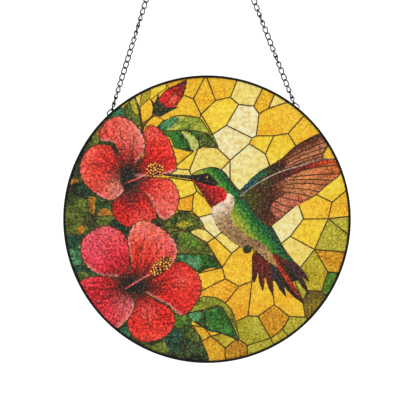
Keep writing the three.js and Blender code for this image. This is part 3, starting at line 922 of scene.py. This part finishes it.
def printOn(places, faces):
    middles = places[faces].mean(1)
    top = np.zeros(len(faces), int)
    for i, area in enumerate(areas):
        top[inside(area["outline"], middles)] = i
    colours = np.zeros((len(faces), 3, 4))
    colours[:, :, 3] = 1
    for i, area in enumerate(areas):
        chosen = np.flatnonzero(top == i)
        if len(chosen):
            used, where = np.unique(faces[chosen], return_inverse=True)
            shade = area["shade"](places[used]) * picture["strength"] - picture["darken"]
            shade = np.clip(shade, 0.003, 0.95)
            colours[chosen, :, :3] = shade[where.reshape(-1, 3)]
    return colours


def ringOrder(places):
    away = np.hypot(*places.T)
    ring = np.flatnonzero(away > picture["paneRadius"] - 0.02)
    return ring[np.argsort(np.arctan2(places[ring, 1], places[ring, 0]))]


def paneMesh(material):
    front, frontFaces = triangulate(pane["fill"])
    back, backFaces = triangulate(pane["backFill"])
    half = pane["thickness"] / 2
    fade = np.clip((picture["paneRadius"] - 1.5 - np.hypot(*front.T)) / 1.5, 0, 1)
    rise = pane["relief"] * (relief(front) + 0.4 * dapple(front)) * fade
    vertices = np.vstack([np.column_stack([front[:, 0], -half - rise, front[:, 1]]),
                          np.column_stack([back[:, 0], np.full(len(back), half), back[:, 1]])]) * mm
    vertices += np.array(rimCentre)
    frontRing = ringOrder(front)
    backRing = ringOrder(back) + len(front)
    wall = []
    for i in range(pane["ringSteps"]):
        j = (i + 1) % pane["ringSteps"]
        wall.append((frontRing[i], backRing[i], backRing[j]))
        wall.append((frontRing[i], backRing[j], frontRing[j]))
    faces = np.vstack([frontFaces, backFaces[:, ::-1] + len(front), np.array(wall)])
    mesh = bpy.data.meshes.new("printed pane")
    mesh.from_pydata(vertices.tolist(), [], faces.tolist())
    edge = np.tile(np.append(colourOf("a8812f"), 1), (len(wall), 3, 1))
    colours = np.vstack([printOn(front, frontFaces), printOn(back, backFaces)[:, ::-1], edge])
    layer = mesh.color_attributes.new("print", "FLOAT_COLOR", "CORNER")
    layer.data.foreach_set("color", colours.astype(np.float32).ravel())
    # The print laid flat, with the pane's edge in a corner that the disc leaves free
    flat = np.vstack([front, back]) / (2.02 * picture["paneRadius"]) + 0.5
    places = flat[faces]
    share = np.arange(len(wall)) // 2 / pane["ringSteps"] * 0.1
    places[-len(wall):] = np.array([(0.005, 0.005), (0.005, 0.05), (0.006, 0.05)])
    places[-len(wall):, :, 0] += share[:, None]
    bake = mesh.uv_layers.new(name="OFBake")
    bake.uv.foreach_set("vector", places.astype(np.float32).ravel())
    mesh.materials.append(material)
    return mesh


def paneMaterial():
    values = {"roughness": 0.34, "transmissionWeight": 0.42, "ior": 1.4, "specularIorLevel": 0.12}
    material, wiring, place, feed = newMaterial("pebbled printed glass", **values)
    flat = wiring.node("ShaderNodeVectorMath", {"operation": "MULTIPLY"}, {0: place, 1: (1, 0, 1)})
    paint = wiring.node("ShaderNodeAttribute", {"attribute_name": "print"})
    tone = wiring.node("ShaderNodeRGBToBW", None, {"Color": paint})
    grain = wiring.noise(flat, pane["grain"], 2, 0.6)
    # Painted glints and painted shade: each grain of the pebbled face lightens its own paint as a painted
    # glint, or darkens it as painted shade, and shows most on the dark ones
    light = {0: paint, 1: (2.2, 2.1, 2.1), 2: (0.09, 0.06, 0.03)}
    light = wiring.node("ShaderNodeVectorMath", {"operation": "MULTIPLY_ADD"}, light)
    # Painted glint: bright specks mixed towards a lightened copy of the paint
    colour = wiring.mix(wiring.ramp(grain, 0.52, 0.64) * (0.9 - 1.3 * tone), paint, light)
    # Painted shade: dark specks multiplied into the paint
    shadow = wiring.ramp(grain, 0.5, 0.36) * (1.0 - 1.45 * tone)
    colour = wiring.mix(shadow, colour, solid("7a5c50"), "MULTIPLY")
    cloud = wiring.noise(flat, pane["cloud"], 3, 0.7)
    colour = wiring.mix(wiring.ramp(cloud, 0.44, 0.6) * 0.75, colour, solid("ecd098"), "MULTIPLY")
    feed("Base Color", colour)
    feed("Roughness", wiring.ramp(grain, 0.3, 0.7) * 0.2 + 0.24)
    pebbles = wiring.noise(flat, pane["pebbles"], 1, 0.4)
    bump = {"Strength": pane["pebbleStrength"], "Distance": pane["pebbleDepth"] * mm, "Height": pebbles}
    feed("Normal", wiring.node("ShaderNodeBump", None, bump))
    return material


finishPiece("printed_pane", paneMesh(paneMaterial()), ["glass_pane"], 0)


# Printed lines, swept once and set on both faces of the pane
lines = {"step": 0.5, "sides": 8, "flatness": 0.42, "slack": 0.035, "frontSink": 0.04, "backSink": 0.06}


def visibleRuns(line, over):
    shown = np.hypot(*line.T) < picture["paneRadius"] - 0.25
    for area in areas[over:]:
        shown &= ~inside(area["outline"], line)
    ends = np.flatnonzero(np.diff(np.concatenate([[0], shown.astype(int), [0]])))
    return [line[a:b] for a, b in zip(ends[::2], ends[1::2]) if b - a > 2]


# Keeps only the points that the line's shape needs
def thinned(line, slack):
    if len(line) < 3:
        return line
    chord = line[-1] - line[0]
    away = line - line[0]
    off = np.abs(chord[0] * away[:, 1] - chord[1] * away[:, 0]) / max(np.hypot(*chord), 1e-9)
    if np.hypot(*chord) < 0.05:
        off = np.hypot(*away.T)
    worst = int(np.argmax(off))
    if off[worst] < slack:
        return line[[0, -1]]
    return np.vstack([thinned(line[:worst + 1], slack)[:-1], thinned(line[worst:], slack)])


def lineMesh(material):
    runs = []
    widths = []
    for item in marks:
        for run in visibleRuns(straightLine(item["line"], step=lines["step"]), item["over"]):
            run = thinned(run, lines["slack"])
            runs.append({"points": np.column_stack([run, np.zeros(len(run))]) * mm})
            widths += [item["width"] * mm] * len(run)
    base = lineObject("drawn lines", runs, [("halfWidth", "FLOAT", widths)])
    growth = Growth("raised lines")
    sides = growth.input("Sides", "Int", lines["sides"])
    flatness = growth.input("Flatness", "Float", lines["flatness"])
    frontY = growth.input("Front", "Float", rimCentre.y - (pane["thickness"] / 2 - lines["frontSink"]) * mm)
    backY = growth.input("Back", "Float", rimCentre.y + (pane["thickness"] / 2 - lines["backSink"]) * mm)
    height = growth.input("Height", "Float", rimCentre.z)
    drawn = growth.node("GeometryNodeMeshToCurve", None, {"Mesh": growth.geometry()})
    drawn = growth.node("GeometryNodeSetCurveNormal", {"mode": "Z_UP"}, {"Curve": drawn})
    ring = growth.circle(sides, 1.0)
    squash = growth.node("ShaderNodeCombineXYZ", None, {"X": 1.0, "Y": flatness, "Z": 1.0})
    ring = growth.node("GeometryNodeTransform", None, {"Geometry": ring, "Scale": squash})
    wide = growth.attribute("halfWidth")
    swept = growth.sweep(drawn, ring, {"Scale": wide, "Fill Caps": True})
    upright = (math.pi / 2, 0, 0)
    sheets = []
    for depth in (frontY, backY):
        shift = growth.node("ShaderNodeCombineXYZ", None, {"X": 0.0, "Y": depth, "Z": height})
        moved = {"Geometry": swept, "Translation": shift, "Rotation": upright}
        sheets.append(growth.node("GeometryNodeTransform", None, moved))
    both = growth.node("GeometryNodeJoinGeometry", None, {"Geometry": sheets})
    return growth.grow(base, "printed_lines", both, material)


def lineMaterial():
    material, wiring, place, feed = newMaterial("printed line paint", roughness=0.42, specularIorLevel=0.15)
    worn = wiring.noise(place, 900, 3, 0.6)
    colour = wiring.mix(wiring.ramp(worn, 0.4, 0.7), solid("281a08"), solid("5c4216"))
    feed("Base Color", colour)
    feed("Roughness", wiring.ramp(worn, 0.3, 0.7) * 0.25 + 0.3)
    return material


finishPiece("printed_lines", lineMesh(lineMaterial()))


# Stamens, dots of raised paint
stamens = {"count": 34, "tips": 9, "size": 0.78, "gap": 1.65, "flatness": 0.6, "detail": 1}


def scattered(centre, width, height, turn, count, seed):
    # Seeded dots in an ellipse that keep off one another
    rng = np.random.default_rng(seed)
    dots = []
    for _ in range(4000):
        angle = rng.uniform(0, 2 * math.pi)
        far = math.sqrt(rng.uniform())
        spot = np.array([math.cos(angle) * far * width, math.sin(angle) * far * height])
        c, s = math.cos(math.radians(turn)), math.sin(math.radians(turn))
        spot = np.array([c * spot[0] - s * spot[1], s * spot[0] + c * spot[1]]) + centre
        if all(np.hypot(*(spot - dot)) > stamens["gap"] for dot in dots):
            dots.append(spot)
        if len(dots) == count:
            break
    return laid(dots)


def dotMesh(name, dots, material):
    rng = np.random.default_rng(picture["seed"] + 5)
    depth = -(pane["thickness"] / 2 + 0.05)
    points = np.column_stack([dots[:, 0], np.full(len(dots), depth), dots[:, 1]]) * mm + np.array(rimCentre)
    girths = rng.uniform(0.75, 1.15, len(dots)) * stamens["size"] * mm
    base = lineObject(name, [{"points": [p]} for p in points], [("girth", "FLOAT", girths)])
    growth = Growth(name)
    detail = growth.input("Detail", "Int", stamens["detail"])
    flatness = growth.input("Flatness", "Float", stamens["flatness"])
    ball = growth.node("GeometryNodeMeshIcoSphere", None, {"Radius": 1.0, "Subdivisions": detail})
    girth = growth.attribute("girth")
    scale = growth.node("ShaderNodeCombineXYZ", None, {"X": girth, "Y": girth * flatness, "Z": girth})
    placed = growth.node("GeometryNodeInstanceOnPoints", None,
                         {"Points": growth.geometry(), "Instance": ball, "Scale": scale})
    return growth.grow(base, name, placed, material)


def dotMaterial(name, light, deep):
    material, wiring, place, feed = newMaterial(name, roughness=0.35, specularIorLevel=0.4)
    tone = wiring.noise(place, 700, 2, 0.5)
    feed("Base Color", wiring.mix(wiring.ramp(tone, 0.38, 0.62), solid(light), solid(deep)))
    return material


gold = [scattered(np.array(f["anthers"]), *f["spread"], stamens["count"], i) for i, f in enumerate(flowers)]
crimson = [scattered(np.array(f["tips"]), 3.4, 2.6, 40, stamens["tips"], i) for i, f in enumerate(flowers)]
goldPaint = dotMaterial("anther gold", "f2c04a", "c07a1e")
tipPaint = dotMaterial("stigma crimson", "8c1a20", "5c1018")
for name, dots, paint in (("anthers", gold, goldPaint), ("stigmas", crimson, tipPaint)):
    finishPiece(name, dotMesh(name, np.vstack(dots), paint), (), 0)


# Rim, a black came swept round the pane
rim = {"depth": 4.8, "face": 1.65, "web": 0.6, "lip": 0.6, "fillet": 0.26, "filletSteps": 3, "steps": 180}


def rimMesh(material):
    half = rim["depth"] / 2
    lip = half - rim["lip"]
    profile = [(0, -half), (0, half), (-rim["face"], half), (-rim["face"], lip), (-rim["web"], lip),
               (-rim["web"], -lip), (-rim["face"], -lip), (-rim["face"], -half)]
    corners = [(x * mm, y * mm, 0) for x, y in profile]
    base = lineObject("came section", [{"points": corners, "closed": True}], [])
    growth = Growth("came")
    radius = growth.input("Radius", "Float", rimRadius * mm)
    fillet = growth.input("Fillet", "Float", rim["fillet"] * mm)
    filletSteps = growth.input("Fillet Steps", "Int", rim["filletSteps"])
    steps = growth.input("Steps", "Int", rim["steps"])
    section = growth.node("GeometryNodeMeshToCurve", None, {"Mesh": growth.geometry()})
    rounded = {"Curve": section, "Count": filletSteps, "Radius": fillet, "Limit Radius": True}
    section = growth.node("GeometryNodeFilletCurve", {"mode": "POLY"}, rounded)
    path = growth.circle(steps, radius)
    path = growth.node("GeometryNodeSetCurveNormal", {"mode": "Z_UP"}, {"Curve": path})
    swept = growth.sweep(path, section)
    upright = {"Geometry": swept, "Rotation": (math.pi / 2, 0, 0), "Translation": tuple(rimCentre)}
    swept = growth.node("GeometryNodeTransform", None, upright)
    return growth.grow(base, "came_rim", swept, material)


def blackMaterial(name, deep, worn, roughness, **values):
    material, wiring, place, feed = newMaterial(name, **values)
    fine = wiring.noise(place, 260, 3, 0.6)
    coarse = wiring.noise(place, 40, 2, 0.5)
    wear = wiring.ramp(fine * 0.6 + coarse * 0.4, 0.45, 0.7)
    feed("Base Color", wiring.mix(wear, solid(deep), solid(worn)))
    feed("Roughness", wiring.ramp(fine, 0.3, 0.7) * 0.16 + roughness)
    return material


rimPaint = blackMaterial("gloss black came", "030304", "08080a", 0.14, specularIorLevel=0.14)
finishPiece("came_rim", rimMesh(rimPaint), ["rim"])


# Hanging loops, wire staples with a bead of solder at each foot
loop = {"wire": 0.9, "length": 6.1, "height": 2.2, "bend": 1.1, "sides": 10, "arcSteps": 5, "foot": 1.75}


def loopRun(low, high):
    middle = (low + high) / 2 - rimCentre
    spoke = math.atan2(middle.x, middle.z)
    half = (loop["length"] - loop["wire"]) / 2
    crown = loop["height"] - loop["wire"] / 2
    bend = loop["bend"]
    side = [(half, -0.35), (half, 0.05), (half, 0.3)]
    side += [(half - bend + bend * math.cos(a), crown - bend + bend * math.sin(a))
             for a in np.linspace(0, math.pi / 2, loop["arcSteps"])]
    path = [(-x, z) for x, z in side] + [(0, crown)] + side[::-1]
    girths = [np.interp(z, (0, 0.35, 0.9), (loop["foot"], 1.35, 1)) for x, z in path]
    turn = Matrix.Rotation(spoke, 4, "Y")
    points = [turn @ Vector((x * mm, 0, (rimRadius + z) * mm)) + rimCentre for x, z in path]
    return {"points": points}, girths


def wireMesh(name, runs, girths, settings, material):
    base = lineObject(name, runs, [("girth", "FLOAT", girths)])
    growth = Growth(name)
    sides = growth.input("Sides", "Int", settings["sides"])
    radius = growth.input("Wire Radius", "Float", settings["wire"] / 2 * mm)
    path = growth.node("GeometryNodeMeshToCurve", None, {"Mesh": growth.geometry()})
    ring = growth.circle(sides, radius)
    swept = growth.sweep(path, ring, {"Scale": growth.attribute("girth"), "Fill Caps": True})
    return growth.grow(base, name, swept, material)


loopPairs = [loopRun(*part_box(node)) for node in ("hanging_loop_left", "hanging_loop_right")]
solder = blackMaterial("soldered wire", "26262a", "7c7d82", 0.34, metallic=0.7)
loopMesh = wireMesh("hanging_loops", [pair[0] for pair in loopPairs], sum((p[1] for p in loopPairs), []),
                    loop, solder)
finishPiece("hanging_loops", loopMesh, ["hanging_loop_left", "hanging_loop_right"])


# Chain, one twisted oval link laid along two runs and over the hook
chain = {
    "wire": 0.9, "length": 6.2, "width": 4.1, "twist": math.pi / 2, "steps": 24, "sides": 8,
    "single": 17, "joined": 26, "lean": 19.3, "play": 0.08, "press": 0.12,
    "lowestTurn": 105, "highestTurn": 45, "linger": 0.2,
}
halfTurns = {-1: 3, 1: 6}


def linkTurn(index, side):
    low, high = math.radians(chain["lowestTurn"]), math.radians(chain["highestTurn"])
    whole = low - high + math.pi * halfTurns[side]
    even = low - whole * index / (chain["single"] + chain["joined"] - 1)
    return even - chain["linger"] * math.sin(2 * even)


def linkFrame(middle, direction, turn):
    across = Vector((0, 1, 0)).cross(direction).normalized()
    depth = direction.cross(across)
    upright = Matrix((across, depth, direction)).transposed().to_4x4()
    return Matrix.Translation(middle) @ upright @ Matrix.Rotation(turn, 4, "Z")


def runFrames(side):
    # The links of one run, counted from the rim, at one even pitch
    bend = (chain["width"] - chain["wire"]) / 2
    half = (chain["length"] - chain["wire"]) / 2
    lean = math.radians(chain["lean"])
    reach = side * (half - bend + bend * math.sin(lean))
    twist = chain["twist"] * reach / (2 * half)
    drop = bend * math.cos(lean)
    low = -drop * math.cos(twist) - (chain["width"] / 2 - chain["wire"])
    hold = Vector((reach, drop * math.sin(twist), low))
    count = chain["single"] + chain["joined"]
    played = chain["wire"] + chain["play"]
    pressed = chain["wire"] - chain["press"]
    length = 2 * half * count - played * chain["single"] - pressed * (chain["joined"] - 1)
    up = Vector((-side * math.sin(lean), hold.y / length, math.cos(lean))).normalized()
    bottom = hold + up * (played - length)
    pitch = (length - 2 * half) / (count - 1)
    return [linkFrame(bottom + up * (half + pitch * i), up, linkTurn(i, side)) for i in range(count)]


def chainMesh(material):
    top = linkFrame(Vector((0, 0, chain["wire"] - chain["width"] / 2)), Vector((1, 0, 0)), 0)
    places = runFrames(-1) + runFrames(1) + [top]
    tilts = [tuple(place.to_euler()) for place in places]
    runs = [{"points": [place.translation * mm]} for place in places]
    base = lineObject("link places", runs, [("tilt", "FLOAT_VECTOR", tilts)])
    growth = Growth("curb chain")
    steps = growth.input("Steps", "Int", chain["steps"])
    sides = growth.input("Sides", "Int", chain["sides"])
    wire = growth.input("Wire", "Float", chain["wire"] * mm)
    length = growth.input("Link Length", "Float", chain["length"] * mm)
    width = growth.input("Link Width", "Float", chain["width"] * mm)
    twist = growth.input("Twist", "Float", chain["twist"])
    bend = (width - wire) * 0.5
    straight = (length - wire) * 0.5 - bend
    ring = growth.circle(steps, 1.0)
    spot = growth.node("GeometryNodeInputPosition")
    cosine = growth.node("ShaderNodeSeparateXYZ", None, {"Vector": spot}, 0)
    sine = growth.node("ShaderNodeSeparateXYZ", None, {"Vector": spot}, 1)
    upper = sine.maths("MAXIMUM", sine.maths("MINIMUM", sine * 50, 1.0), -1.0)
    along = sine * bend + upper * straight
    turn = along * twist / (length - wire)
    reach = cosine * bend
    oval = growth.node("ShaderNodeCombineXYZ", None, {
        "X": reach * turn.maths("COSINE", turn), "Y": reach * turn.maths("SINE", turn), "Z": along})
    link = growth.node("GeometryNodeSetPosition", None, {"Geometry": ring, "Position": oval})
    section = growth.circle(sides, wire * 0.5)
    link = growth.sweep(link, section)
    tilt = growth.attribute("tilt", "FLOAT_VECTOR")
    tilt = growth.node("FunctionNodeEulerToRotation", None, {"Euler": tilt})
    placed = growth.node("GeometryNodeInstanceOnPoints", None,
                         {"Points": growth.geometry(), "Instance": link, "Rotation": tilt})
    return growth.grow(base, "curb_chain", placed, material)


chainNodes = [f"link_{word}_{i:02d}" for word in ("left", "right") for i in range(1, chain["single"] + 1)]
chainNodes += ["chain_run_left", "chain_run_right", "link_top"]
chainPaint = blackMaterial("blackened steel", "1a1a1c", "3c3c40", 0.3, metallic=0.6, specularIorLevel=0.4)
finishPiece("curb_chain", chainMesh(chainPaint), chainNodes)


# Stage, lights and camera
stage = {
    "floorDrop": 0.95, "floorSize": 3.0, "daylight": 1.18,
    "lens": 100, "distance": 0.818, "roll": -2.0, "aim": (0.98, 7.87),
    # Place from the rim's centre, size, power and colour
    "lights": {
        "soft key": ((-0.7, -1.1, 0.7), 0.8, 5.0, (1, 0.98, 0.95)),
        "rim light": ((0.9, 0.12, 0.2), 0.25, 14.0, (0.8, 0.87, 1)),
    },
}


def layStage():
    size = stage["floorSize"] / 2
    drop = rimCentre.z - stage["floorDrop"]
    corners = [(-size, -size, drop), (size, -size, drop), (size, size, drop), (-size, size, drop)]
    mesh = bpy.data.meshes.new("floor")
    mesh.from_pydata(corners, [], [(0, 1, 2, 3)])
    material, wiring, place, feed = newMaterial("pale floor", roughness=0.8, specularIorLevel=0.2)
    tone = wiring.noise(place, 3, 3, 0.5)
    feed("Base Color", wiring.mix(tone, solid("eeeeec"), solid("e4e4e2")))
    mesh.materials.append(material)
    floor = newObject("floor", mesh)
    world = bpy.data.worlds.new("studio")
    world.use_nodes = True
    world.node_tree.nodes["Background"].inputs["Color"].default_value = (1, 1, 1, 1)
    world.node_tree.nodes["Background"].inputs["Strength"].default_value = stage["daylight"]
    bpy.context.scene.world = world
    bpy.context.scene.view_settings.view_transform = "Standard"


def addLight(name, place, size, power, colour):
    light = bpy.data.lights.new(name, "AREA")
    light.shape = "DISK"
    light.size = size
    light.energy = power
    light.color = colour
    lamp = newObject(name, light)
    lamp.location = (place[0], place[1], rimCentre.z + place[2])
    lamp.rotation_euler = (lamp.location - rimCentre).to_track_quat("Z", "Y").to_euler()


def addCamera():
    camera = bpy.data.cameras.new("camera")
    camera.lens = stage["lens"]
    camera.sensor_width = 36
    camera.clip_start = 0.01
    made = newObject("camera", camera)
    aim = rimCentre + Vector((stage["aim"][0] * mm, 0, stage["aim"][1] * mm))
    place = Matrix.Translation(aim + Vector((0, -stage["distance"], 0)))
    roll = Matrix.Rotation(math.radians(stage["roll"]), 4, "Z")
    made.matrix_world = place @ Matrix.Rotation(math.pi / 2, 4, "X") @ roll
    bpy.context.scene.camera = made


layStage()
for name, settings in stage["lights"].items():
    addLight(name, *settings)
addCamera()
print("floor,", len(stage["lights"]), "lights and camera")

bpy.context.view_layer.update()
